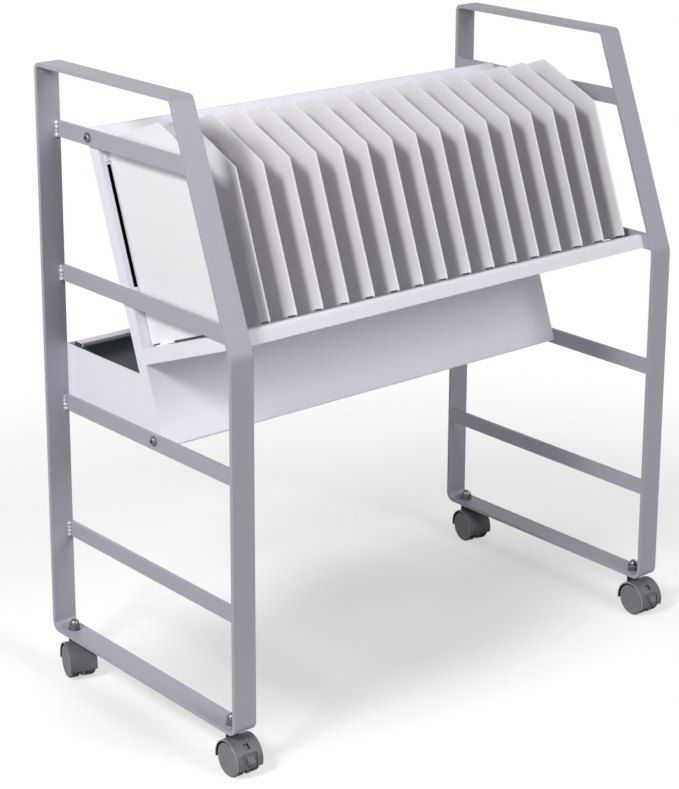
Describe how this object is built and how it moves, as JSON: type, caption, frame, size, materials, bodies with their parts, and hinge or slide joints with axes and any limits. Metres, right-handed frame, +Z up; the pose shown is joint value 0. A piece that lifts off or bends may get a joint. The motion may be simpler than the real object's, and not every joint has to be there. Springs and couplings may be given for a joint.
{
  "type": "laptop charging cart",
  "caption": "Open charging cart: flat-bar side loops on swivel castors carry a slanted white rack with divider bays, slotted back panel and a cable trough.",
  "frame": {"origin": "middle of the bounding box, on the floor", "axes": "+X along the cart to its right end, -Y towards the side that devices go in from, +Z up"},
  "size_m": [0.7462, 0.404, 0.8],
  "materials": {
    "bar_paint": "satin silver-grey powder coat",
    "rack_paint": "satin white powder coat",
    "chrome": "polished chrome plating",
    "hood_plastic": "moulded satin grey nylon",
    "wheel_plastic": "moulded satin grey nylon",
    "axle_steel": "bright drawn steel",
    "strip_plastic": "moulded black plastic",
    "outlet_plastic": "moulded dark grey plastic"
  },
  "bodies": {
    "cart": {"left_loop": "bar_paint", "left_rung_1": "bar_paint", "left_rung_2": "bar_paint", "left_rung_3": "bar_paint", "left_rung_4": "bar_paint", "right_loop": "bar_paint", "right_rung_1": "bar_paint", "right_rung_2": "bar_paint", "right_rung_3": "bar_paint", "right_rung_4": "bar_paint", "end_plate_left": "rack_paint", "end_plate_right": "rack_paint", "back_panel": "rack_paint", "rear_cover": "rack_paint", "shelf": "rack_paint", "trough_pan": "rack_paint", "divider_01": "rack_paint", "divider_02": "rack_paint", "divider_03": "rack_paint", "divider_04": "rack_paint", "divider_05": "rack_paint", "divider_06": "rack_paint", "divider_07": "rack_paint", "divider_08": "rack_paint", "divider_09": "rack_paint", "divider_10": "rack_paint", "divider_11": "rack_paint", "divider_12": "rack_paint", "divider_13": "rack_paint", "divider_14": "rack_paint", "divider_15": "rack_paint", "divider_16": "rack_paint", "divider_17": "rack_paint", "rack_bolts": "chrome", "rack_nuts": "chrome", "castor_stems": "chrome", "stem_washers": "chrome", "dome_nuts": "chrome", "power_strip": "strip_plastic", "outlets": "outlet_plastic", "power_inlet": "outlet_plastic"},
    "castor_fl": {"hood_fl": "hood_plastic", "axle_fl": "axle_steel"},
    "wheel_fl_out": {"wheel_fl_out": "wheel_plastic"},
    "wheel_fl_in": {"wheel_fl_in": "wheel_plastic"},
    "brake_fl": {"brake_lever_fl": "hood_plastic"},
    "castor_fr": {"hood_fr": "hood_plastic", "axle_fr": "axle_steel"},
    "wheel_fr_out": {"wheel_fr_out": "wheel_plastic"},
    "wheel_fr_in": {"wheel_fr_in": "wheel_plastic"},
    "brake_fr": {"brake_lever_fr": "hood_plastic"},
    "castor_rl": {"hood_rl": "hood_plastic", "axle_rl": "axle_steel"},
    "wheel_rl_out": {"wheel_rl_out": "wheel_plastic"},
    "wheel_rl_in": {"wheel_rl_in": "wheel_plastic"},
    "castor_rr": {"hood_rr": "hood_plastic", "axle_rr": "axle_steel"},
    "wheel_rr_out": {"wheel_rr_out": "wheel_plastic"},
    "wheel_rr_in": {"wheel_rr_in": "wheel_plastic"},
    "rocker": {"power_switch": "outlet_plastic"}
  },
  "joints": [
    {"name": "swivel_fl", "type": "hinge", "parent": "cart", "child": "castor_fl", "pos_m": [-0.34448, -0.15798, 0.043], "axis": [0, 0, 1], "continuous": true},
    {"name": "roll_fl_out", "type": "hinge", "parent": "castor_fl", "child": "wheel_fl_out", "pos_m": [-0.34549, -0.17244, 0.022], "axis": [0.9976, -0.0698, 0], "continuous": true},
    {"name": "roll_fl_in", "type": "hinge", "parent": "castor_fl", "child": "wheel_fl_in", "pos_m": [-0.34549, -0.17244, 0.022], "axis": [0.9976, -0.0698, 0], "continuous": true},
    {"name": "brake_tip_fl", "type": "hinge", "parent": "castor_fl", "child": "brake_fl", "pos_m": [-0.34702, -0.19422, 0.03172], "axis": [0.9976, -0.0698, 0], "range_deg": [-18, 0]},
    {"name": "swivel_fr", "type": "hinge", "parent": "cart", "child": "castor_fr", "pos_m": [0.35352, -0.15798, 0.043], "axis": [0, 0, 1], "continuous": true},
    {"name": "roll_fr_out", "type": "hinge", "parent": "castor_fr", "child": "wheel_fr_out", "pos_m": [0.35251, -0.17244, 0.022], "axis": [0.9976, -0.0698, 0], "continuous": true},
    {"name": "roll_fr_in", "type": "hinge", "parent": "castor_fr", "child": "wheel_fr_in", "pos_m": [0.35251, -0.17244, 0.022], "axis": [0.9976, -0.0698, 0], "continuous": true},
    {"name": "brake_tip_fr", "type": "hinge", "parent": "castor_fr", "child": "brake_fr", "pos_m": [0.35098, -0.19422, 0.03172], "axis": [0.9976, -0.0698, 0], "range_deg": [-18, 0]},
    {"name": "swivel_rl", "type": "hinge", "parent": "cart", "child": "castor_rl", "pos_m": [-0.34448, 0.17602, 0.043], "axis": [0, 0, 1], "continuous": true},
    {"name": "roll_rl_out", "type": "hinge", "parent": "castor_rl", "child": "wheel_rl_out", "pos_m": [-0.34872, 0.16216, 0.022], "axis": [0.9563, -0.2924, 0], "continuous": true},
    {"name": "roll_rl_in", "type": "hinge", "parent": "castor_rl", "child": "wheel_rl_in", "pos_m": [-0.34872, 0.16216, 0.022], "axis": [0.9563, -0.2924, 0], "continuous": true},
    {"name": "swivel_rr", "type": "hinge", "parent": "cart", "child": "castor_rr", "pos_m": [0.35352, 0.17602, 0.043], "axis": [0, 0, 1], "continuous": true},
    {"name": "roll_rr_out", "type": "hinge", "parent": "castor_rr", "child": "wheel_rr_out", "pos_m": [0.35075, 0.16179, 0.022], "axis": [0.9816, -0.1908, 0], "continuous": true},
    {"name": "roll_rr_in", "type": "hinge", "parent": "castor_rr", "child": "wheel_rr_in", "pos_m": [0.35075, 0.16179, 0.022], "axis": [0.9816, -0.1908, 0], "continuous": true},
    {"name": "switch_rock", "type": "hinge", "parent": "cart", "child": "rocker", "pos_m": [0.26252, 0.10102, 0.389], "axis": [0, 1, 0], "range_deg": [-10, 0]}
  ]
}
